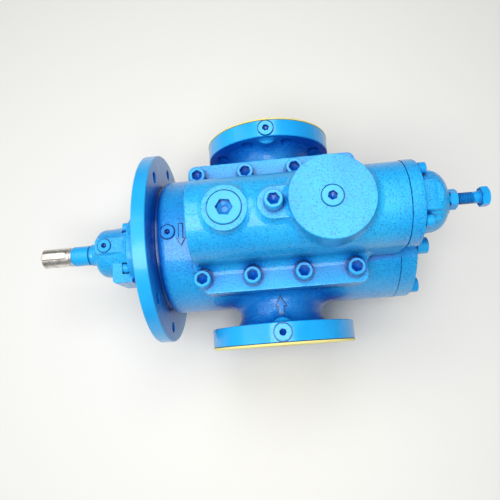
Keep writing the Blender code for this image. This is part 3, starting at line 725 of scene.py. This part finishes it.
def seal_shapes(skin):
    steps = [
        (0.0200, -0.1003 + skin), (0.0270, -0.1000 + skin), (0.0335, -0.0975), (0.0380, -0.0925),
        (0.0402, -0.0860), (0.0405, -0.0700), (0.0415, -0.0580), (0.0435, -0.0500),
        (0.0465, -0.0425), (0.0480, -0.0400), (0.0480, -0.0330),
    ]
    body = turned("seal_body", [(r - skin, x) for r, x in steps], (0, 0, SHAFT_Z), "+X", sides=96)
    ring = turned("seal_flange", [
        (0.0570 - skin, SEAL_FACE + skin), (0.0580 - skin, SEAL_FACE + 0.001 + skin),
        (0.0580 - skin, HUB_END - GAP - skin),
    ], (0, 0, SHAFT_Z), "+X", sides=96)
    low = (-0.0935 + skin, -0.0085 + skin, SHAFT_Z + 0.02)
    rib = boxed("seal_rib", low, (-0.0355, 0.0165 - skin, SHAFT_Z + 0.0435 - skin))
    rounded(rib, lambda m, d: abs(d.z) > 0.9 and m.x < -0.09, 0.006, 4)
    rounded(rib, lambda m, d: abs(d.z) < 0.1 and m.z > SHAFT_Z + 0.043, 0.0012, 2)
    low = (-0.0680 + skin, -0.0565 + skin, SHAFT_Z - 0.030)
    lug = boxed("seal_lug", low, (-0.0355, -0.018, SHAFT_Z + 0.0335 - skin))
    rounded(lug, lambda m, d: abs(d.z) > 0.9 and m.x < -0.06 and m.y < -0.05, 0.006, 4)
    rounded(lug, lambda m, d: abs(d.z) < 0.1 and m.z > SHAFT_Z + 0.033, 0.0015, 2)
    return [body, ring, rib, lug]


class PUMP_OT_seal_housing(bpy.types.Operator):
    """Casts the shaft seal's housing with its rib and lug"""
    bl_idname = "pump.seal_housing"
    bl_label = "Seal housing"

    def execute(self, context):
        housing = cast("seal_iron", seal_shapes, 0.004, 0.0013)
        cut(housing, drill((-0.1003, 0, SHAFT_Z), "-X", 0.0172, 0.08, 0.0008, 96))
        cut(housing, boxed("joint", (HUB_END - GAP, -0.08, 0.05), (0.0, 0.08, 0.21)))
        pocket = [(0.0092, SEAL_FACE - 0.013), (0.0092, SEAL_FACE)]
        for y, z in seal_places():
            cut(housing, turned("pocket", pocket, (0, y, z), "+X", SMALL_ROUND))
            cut(housing, drill((SEAL_FACE, y, z), "-X", HOLE_M10, 0.02))
        cut(housing, *plug_bed("seal_housing_plug"))
        finished(housing, "seal_body", "seal_housing", (enamel_on_sand_casting,))
        return {"FINISHED"}


def cover_shapes(skin):
    flange = turned("cover_flange", [
        (0.0575 - skin, COVER_START + skin), (0.0580 - skin, COVER_START + 0.0005 + skin),
        (0.0580 - skin, COVER_FACE - 0.0025), (0.0572 - skin, COVER_FACE - 0.0008),
        (0.0555 - skin, COVER_FACE - skin),
    ], (0, 0, VALVE_Z), "+X")
    reach = DOME_SHELL_END - DOME_TURN - skin
    ring = [(0.0420, COVER_START + 0.005), (0.0420, 0.388)] + [
        (0.0420 * part, DOME_TURN + reach * (1 - part ** 2.5) ** 0.4)
        for part in (1.0, 0.99, 0.97, 0.94, 0.90, 0.85, 0.79, 0.72, 0.64, 0.55, 0.45, 0.34)
    ]
    dome = turned("dome", [(radius - skin, x) for radius, x in ring], (0, 0, VALVE_Z), "+X")
    # The dome's crown is cast flat, and the flat runs out sideways into a short bar
    dome = sliced(dome, (0, 0, VALVE_Z + 0.0385 - skin), Vector((0, 0, 1)))
    left, right, height = -0.0222 + skin, 0.0190 - skin, 0.0400 - skin
    bar = boxed("bar", (COVER_START + 0.005, left, VALVE_Z), (DOME_SHELL_END - skin, right, VALVE_Z + height))
    for step in range(11):
        angle = math.radians(90 - 8 * step)
        point = Vector((DOME_TURN + reach * math.cos(angle), 0, VALVE_Z + height * math.sin(angle)))
        out = Vector((math.cos(angle) / reach, 0, math.sin(angle) / height)).normalized()
        if step:
            sliced(bar, point, out)
        for side, y in ((-1, left), (1, right)):
            sliced(bar, point + Vector((0, y, 0)) - 0.0018 * out, out + Vector((0, side, 0)))
    return [flange, dome, bar]


class PUMP_OT_covers(bpy.types.Operator):
    """Makes the valve's domed cover and the casing's end cover"""
    bl_idname = "pump.covers"
    bl_label = "Valve cover and end cover"

    def execute(self, context):
        cover = cast("valve_cover_iron", cover_shapes, 0.0028, 0.0012)
        cut(cover, boxed("flat", (0.34, -0.08, 0.15), (0.45, 0.08, JOINT_Z + 2 * GAP)))
        cut(cover, boxed("joint", (0.34, -0.08, 0.15), (COVER_START, 0.08, 0.40)))
        seat = turned("nut_seat", [
            (0.0150, DOME_SHELL_END - 0.004), (0.0136, DOME_END - 0.0004), (0.0132, DOME_END),
        ], (0, 0, VALVE_Z), "+X", SMALL_ROUND)
        joined([cover, seat])
        cut(cover, drill((DOME_END, 0, VALVE_Z), "+X", ADJUSTER_HOLE, 0.075, 0.0008))
        pocket = [(0.0090, COVER_FACE), (0.0090, COVER_FACE + 0.03)]
        for y, z in cover_places():
            cut(cover, turned("pocket", pocket, (0, y, z), "+X", SMALL_ROUND))
            cut(cover, drill((COVER_FACE, y, z), "+X", HOLE_M10, 0.03))
        finished(cover, "valve_end_cover", "valve_cover", (enamel_on_sand_casting,))

        r = context.scene.pump_castings.barrel
        end = turned("end_cover_iron", [
            (r - 0.0006, END_COVER_START), (r, END_COVER_START + 0.0006), (r, END_COVER_FACE - 0.003),
            (r - 0.0009, END_COVER_FACE - 0.0009), (r - 0.003, END_COVER_FACE),
        ], (0, 0, SHAFT_Z), "+X")
        cut(end, boxed("flat", (0.36, -0.13, JOINT_Z), (0.41, 0.13, JOINT_Z + 0.05)))
        for y, z in end_places():
            cut(end, drill((END_COVER_FACE, y, z), "+X", HOLE_M16, 0.03))
        finished(end, "casing_end_cover", "end_cover", (enamel_on_sand_casting,))
        return {"FINISHED"}


# Drive side
class PUMP_OT_drive_flange(bpy.types.Operator):
    """Turns the drive flange and drills its holes"""
    bl_idname = "pump.drive_flange"
    bl_label = "Drive flange"

    def execute(self, context):
        flanges = context.scene.pump_flanges
        r, edge, back = flanges.drive, flanges.edge, flanges.drive_thickness
        flange = turned("drive_flange_iron", [
            (0.0652, HUB_END), (0.0660, HUB_END + 0.0008), (0.0660, -0.0075), (0.0668, -0.0058),
            (0.0685, -0.0050), (0.1094, -0.0050), (0.1100, -0.0044), (0.1100, 0.0),
            (r - edge, 0.0), (r, edge), (r, back - edge), (r - edge, back),
            (0.1015, back), (0.1003, back + 0.0004), (0.1000, back + 0.0015), (0.1000, BARREL_START - GAP),
        ], (0, 0, SHAFT_Z), "+X", sides=200)
        tools = []
        for angle in (45, 90, 135, 225, 270, 315):
            y, z = around(SHAFT_Z, angle)
            tools.append(drill((0.0, y, z), "-X", flanges.hole, 0.03, 0.0008))
        for y, z in drive_places():
            tools.append(drill((-0.005, y, z), "-X", 0.0102, 0.013))
            tools.append(drill((0.0, y, z), "-X", HOLE_M12, 0.04))
        for y, z in seal_places():
            tools.append(drill((HUB_END, y, z), "-X", HOLE_M10, 0.016))
        tools.append(drill((HUB_END, 0, SHAFT_Z), "-X", 0.0164, 0.022, sides=96))
        cut(flange, *tools)
        finished(flange, "drive_flange_body", "drive_flange", (enamel_on_machined_iron,))
        return {"FINISHED"}


class PUMP_OT_shaft(bpy.types.Operator):
    """Turns the drive shaft, mills its keyway and fits the key"""
    bl_idname = "pump.shaft"
    bl_label = "Shaft and key"

    def execute(self, context):
        r = context.scene.pump_screws.shaft
        shaft = turned("shaft_steel", [
            (r - 0.0012, -0.1957), (r, -0.1945), (r, -0.175), (r, -0.1496), (0.0145, -0.1490),
            (0.0145, -0.1460), (0.0155, -0.1442), (0.0162, -0.1437), (0.0165, -0.1430), (0.0165, -0.1170),
            (0.0158, -0.1162), (0.0150, -0.1158), (0.0150, -0.1142), (0.0176, -0.1130), (0.0182, -0.1122),
            (0.0178, -0.1080), (0.0188, -0.1068), (0.0193, -0.1055), (0.0195, -0.1008), (r, -0.1008),
            (r, -0.008),
        ], (0, 0, SHAFT_Z), "+X", sides=96)
        keyway = boxed("keyway", (-0.21, -0.0053, SHAFT_Z + 0.0107), (-0.1520, 0.0053, SHAFT_Z + 0.03))
        rounded(keyway, lambda m, d: abs(d.z) > 0.9 and m.x > -0.16, 0.0052, 8)
        cut(shaft, keyway)
        cut(shaft, turned("centre_drill", [
            (0.0052, -0.1960), (0.0022, -0.1930), (0.0016, -0.1905), (0.0004, -0.1895),
        ], (0, 0, SHAFT_Z), "+X", SMALL_ROUND))
        finishes = (turned_steel, enamel_on_machined_iron)
        finished(shaft, "shaft_end", "drive_shaft", finishes, "shaft",
                 lambda centre, normal: centre.x > -0.1462)

        key = boxed("key_steel", (-0.1947, -0.0050, SHAFT_Z + 0.0110), (-0.1523, 0.0050, SHAFT_Z + 0.0190))
        rounded(key, lambda m, d: abs(d.z) > 0.9 and m.x > -0.16, 0.0048, 8)
        rounded(key, lambda m, d: abs(d.z) < 0.1, 0.0004, 2)
        finished(key, "feather_key", "shaft_key", (turned_steel,), "shaft")
        return {"FINISHED"}


def hexagon_body(name, corner, start, end, spin):
    """A hexagon on the valve's axis with its corners turned off at both ends."""
    body = turned(name, [(corner, start), (corner, end)], (0, 0, VALVE_Z), "+X", 6, spin)
    taper = turned("taper", [
        (corner - 0.0022, start), (corner + 0.0002, start + 0.0014),
        (corner + 0.0002, end - 0.0014), (corner - 0.0022, end),
    ], (0, 0, VALVE_Z), "+X", 96)
    return with_tool(body, taper, "INTERSECT")


class PUMP_OT_adjuster(bpy.types.Operator):
    """Cuts the adjusting screw's thread and fits its lock nut"""
    bl_idname = "pump.adjuster"
    bl_label = "Adjusting screw and lock nut"

    def execute(self, context):
        sizes = context.scene.pump_screws
        corner = sizes.hexagon / math.cos(math.pi / 6)
        root, pitch = sizes.shank - 0.0011, sizes.pitch
        smooth = HEAD_START - 0.0075
        core = turned("adjuster_core", [
            (root - 0.001, 0.394), (root, 0.395), (root, smooth - 0.001), (sizes.shank, smooth + 0.0005),
            (sizes.shank, HEAD_START - 0.001), (sizes.shank + 0.001, HEAD_START),
            (sizes.shank + 0.001, HEAD_START + 0.001),
        ], (0, 0, VALVE_Z), "+X", SMALL_ROUND)
        head = hexagon_body("adjuster_head", corner, HEAD_START, HEAD_END, math.radians(30))

        # One thread ridge: a triangle on edge, swept along the screw's helix
        nothing_picked()
        bpy.ops.mesh.primitive_circle_add(vertices=3, radius=pitch * 0.55, fill_type="NOTHING")
        ridge = context.object
        ridge.rotation_euler = (math.pi / 2, 0, -math.pi / 2)
        bpy.ops.object.transform_apply(location=True, rotation=True, scale=True)
        points = ridge.data.vertices
        outline = ((sizes.shank, 0.0), (root - 0.0006, pitch * 0.46), (root - 0.0006, -pitch * 0.46))
        for point, (radius, height) in zip(points, outline):
            point.co = (radius, 0.0, height)
        turns = int((smooth - 0.398) / pitch)
        worked(ridge, "SCREW", axis="Z", screw_offset=pitch, iterations=turns, steps=24, render_steps=24,
               use_merge_vertices=True, merge_threshold=0.00001, use_normal_calculate=True)
        pick(ridge)
        bpy.ops.object.mode_set(mode="EDIT")
        bpy.ops.mesh.select_mode(type="EDGE")
        bpy.ops.mesh.select_all(action="DESELECT")
        bpy.ops.mesh.select_non_manifold()
        bpy.ops.mesh.fill()
        bpy.ops.mesh.select_all(action="SELECT")
        bpy.ops.mesh.normals_make_consistent(inside=False)
        bpy.ops.object.mode_set(mode="OBJECT")
        stand(ridge, (0.397, 0, VALVE_Z), "+X")
        screw = joined([core, ridge, head])
        finished(screw, "adjuster", "adjusting_screw", (enamel_on_machined_iron,), "adjuster")

        nut = hexagon_body("nut", corner, DOME_END + GAP, NUT_END, math.radians(12))
        cut(nut, drill((NUT_END, 0, VALVE_Z), "+X", ADJUSTER_HOLE, 0.02, 0.0007))
        finished(nut, "adjuster_lock_nut", "lock_nut", (enamel_on_machined_iron,))
        return {"FINISHED"}


class PUMP_OT_port_covers(bpy.types.Operator):
    """Moulds the yellow covers over the two open ports"""
    bl_idname = "pump.port_covers"
    bl_label = "Port covers"

    def execute(self, context):
        flanges = context.scene.pump_flanges
        for name, node_name, spec, radius in (
            ("suction_port_cover", "suction_cover", SUCTION, flanges.suction),
            ("discharge_port_cover", "discharge_cover", DISCHARGE, flanges.discharge),
        ):
            inner, outer = spec["face"] + GAP, spec["face"] + GAP + flanges.cover
            rim, plug = radius + 0.0006, spec["port"] - 0.001
            cover = turned(name, [
                (plug - 0.004, inner - 0.008), (plug - 0.0005, inner - 0.008), (plug, inner - 0.0072),
                (plug, inner), (rim - 0.0004, inner), (rim, inner + 0.0004), (rim - 0.0003, inner + 0.0012),
                (rim - 0.0022, outer), (plug - 0.003, outer), (plug - 0.006, outer - 0.0012),
                (0.012, outer - 0.0012), (0.010, outer - 0.0004),
            ], (BRANCH_X, 0, SHAFT_Z), "+Y" if spec["side"] > 0 else "-Y")
            finished(cover, name, node_name, (moulded_polyethylene,))
        return {"FINISHED"}


# Screws and plugs: head radius, head height, shank radius, half the hexagon across flats, socket depth
M16 = (0.012, 0.016, 0.008, 0.007, 0.008)
M12 = (0.009, 0.012, 0.006, 0.005, 0.006)
M10 = (0.008, 0.010, 0.005, 0.004, 0.005)

PLUG_SINK = 0.0020              # depth of the counterbore that a plug's collar stands in

# Plugs: seat, collar radius, height above the seat and half the hexagon across flats
PLUGS = {
    "suction_rim_plug": ((BRANCH_X, -0.1548, SHAFT_Z + 0.1092), 0.0122, 0.0016, 0.0048),
    "discharge_rim_plug": ((BRANCH_X, 0.1512, SHAFT_Z + 0.0992), 0.0116, 0.0016, 0.0048),
    "casing_plug": ((0.0408, 0.0, SHAFT_Z + 0.1076), 0.0103, 0.0018, 0.0040),
    "valve_plug": ((BOSS_X, 0.0, BOSS_TOP), 0.0220, 0.0010, 0.0100),
    "disc_plug": ((DISC_X, 0.0, DISC_TOP), 0.0136, 0.0010, 0.0056),
    "seal_housing_plug": ((-0.0775, 0.004, SHAFT_Z + 0.0435), 0.0106, 0.0016, 0.0040),
}


def lip_places():
    return [(x, side * LIP_SCREW_Y) for side in (-1, 1) for x in LIP_SCREW_X]


def end_places():
    return [around(0.092, angle) for angle in (30, 90, 150, 210, 270, 330)]


def drive_places():
    return [around(0.088, angle) for angle in (45, 135, 225, 315)]


def seal_places():
    return [around(0.047, angle) for angle in (45, 135, 225, 315)]


def cover_places():
    return [around(0.049, angle, VALVE_Z) for angle in (45, 135, 225, 315)]


def plug_bed(name):
    """The flat that a plug's collar sits on and the hole for its stub."""
    (x, y, z), collar, _, _ = PLUGS[name]
    rim = collar + 0.0011
    flat = turned("bed", [
        (rim, z - PLUG_SINK), (rim, z), (rim + 0.0006, z + 0.0006), (rim + 0.0006, z + 0.01),
    ], (x, y, 0), sides=SMALL_ROUND * 2)
    return [flat, drill((x, y, z), "+Z", collar * 0.72 + 0.0004, 0.009)]


def socket_screw(name, size, shank_length):
    """A socket head screw along +Z with its seat at the origin, as a model for its copies."""
    head, height, shank, half_hexagon, socket = size
    corner = half_hexagon / math.cos(math.pi / 6)
    screw = turned(name, [
        (shank - 0.0008, -shank_length), (shank, -shank_length + 0.0008), (shank, 0.0), (head - 0.0004, 0.0),
        (head, 0.0004), (head, height - 0.0013), (head - 0.0003, height - 0.0008), (head - 0.0013, height),
    ], sides=SMALL_ROUND)
    hexagon = turned("hexagon", [(corner, height - socket), (corner, height + 0.002)], sides=6)
    cut(screw, hexagon)
    cut(screw, drill((0, 0, height), "+Z", half_hexagon * 0.97, socket + 0.0006, drill_point=True))
    mouth = [(corner - 0.0006, height - 0.0006), (corner + 0.0004, height + 0.0004)]
    cut(screw, turned("mouth", mouth, sides=SMALL_ROUND))
    return screw


def copy_to(model, at, along, spin):
    pick(model)
    bpy.ops.object.duplicate(linked=False)
    return stand(bpy.context.object, at, along, spin)


class PUMP_OT_screws(bpy.types.Operator):
    """Fits all socket head screws"""
    bl_idname = "pump.screws"
    bl_label = "Socket head screws"

    def execute(self, context):
        rows = (
            ("valve_housing_screw", M16, 0.042, "+Z", [(x, y, LIP_TOP + GAP) for x, y in lip_places()]),
            ("valve_pad_screw", M16, 0.018, "+Z", [(PAD_X, 0, PAD_TOP + GAP)]),
            ("end_cover_screw", M16, 0.048, "+X", [(END_COVER_FACE + GAP, y, z) for y, z in end_places()]),
            ("valve_cover_screw", M10, 0.036, "+X", [(COVER_FACE + GAP, y, z) for y, z in cover_places()]),
            ("seal_housing_screw", M10, 0.024, "-X", [(SEAL_FACE - GAP, y, z) for y, z in seal_places()]),
            ("drive_flange_screw", M12, 0.034, "-X", [(0.008 - GAP, y, z) for y, z in drive_places()]),
        )
        for name, size, shank_length, along, places in rows:
            model = socket_screw("model", size, shank_length)
            for number, place in enumerate(places, 1):
                node_name = name if len(places) == 1 else f"{name}_{number}"
                copy = copy_to(model, place, along, math.radians(17 * number + 5 * len(name)))
                finished(copy, node_name.replace("screw", "cap_screw"), node_name, (enamel_on_machined_iron,))
            bpy.data.objects.remove(model, do_unlink=True)
        return {"FINISHED"}


class PUMP_OT_plugs(bpy.types.Operator):
    """Fits the six screw plugs"""
    bl_idname = "pump.plugs"
    bl_label = "Screw plugs"

    def execute(self, context):
        for number, (name, ((x, y, z), collar, thickness, half_hexagon)) in enumerate(PLUGS.items()):
            stub, corner = collar * 0.72, half_hexagon / math.cos(math.pi / 6)
            plug = turned(name, [
                (stub - 0.0008, -0.008), (stub, -0.0072), (stub, GAP - PLUG_SINK), (collar, GAP - PLUG_SINK),
                (collar, thickness - 0.0009), (collar - 0.0009, thickness),
            ], sides=SMALL_ROUND * 2)
            cut(plug, turned("hexagon", [(corner, -0.0045), (corner, thickness + 0.002)], sides=6))
            mouth = (0, 0, thickness)
            cut(plug, drill(mouth, "+Z", half_hexagon * 0.97, thickness + 0.0052, drill_point=True))
            stand(plug, (x, y, z + GAP), spin=math.radians(14 + 23 * number))
            finished(plug, name.replace("plug", "screw_plug"), name, (enamel_on_machined_iron,))
        return {"FINISHED"}


BUILD_ORDER = (
    PUMP_OT_stage, PUMP_OT_casing, PUMP_OT_valve_housing, PUMP_OT_seal_housing, PUMP_OT_covers,
    PUMP_OT_drive_flange, PUMP_OT_shaft, PUMP_OT_adjuster, PUMP_OT_port_covers, PUMP_OT_screws,
    PUMP_OT_plugs,
)
GROUPS = {
    "pump_castings": CastingSizes,
    "pump_flanges": FlangeSizes,
    "pump_screws": ScrewSizes,
    "pump_finish": FinishColours,
}


class PUMP_PT_sidebar(bpy.types.Panel):
    """Lists the pump's sizes and the pieces to build"""
    bl_idname = "PUMP_PT_sidebar"
    bl_label = "Three-screw pump"
    bl_space_type = "VIEW_3D"
    bl_region_type = "UI"
    bl_category = "Pump"

    def draw(self, context):
        for group_name, group in GROUPS.items():
            box = self.layout.box()
            for prop in group.__annotations__:
                box.prop(getattr(context.scene, group_name), prop)
        for step in BUILD_ORDER:
            self.layout.operator(step.bl_idname)


def register():
    for group_name, group in GROUPS.items():
        bpy.utils.register_class(group)
        setattr(bpy.types.Scene, group_name, PointerProperty(type=group))
    for step in (*BUILD_ORDER, PUMP_PT_sidebar):
        bpy.utils.register_class(step)


def unregister():
    for step in reversed((*BUILD_ORDER, PUMP_PT_sidebar)):
        bpy.utils.unregister_class(step)
    for group_name, group in reversed(GROUPS.items()):
        delattr(bpy.types.Scene, group_name)
        bpy.utils.unregister_class(group)


def main():
    register()
    for step in BUILD_ORDER:
        group, call = step.bl_idname.split(".")
        getattr(getattr(bpy.ops, group), call)()


if __name__ == "__main__":
    main()
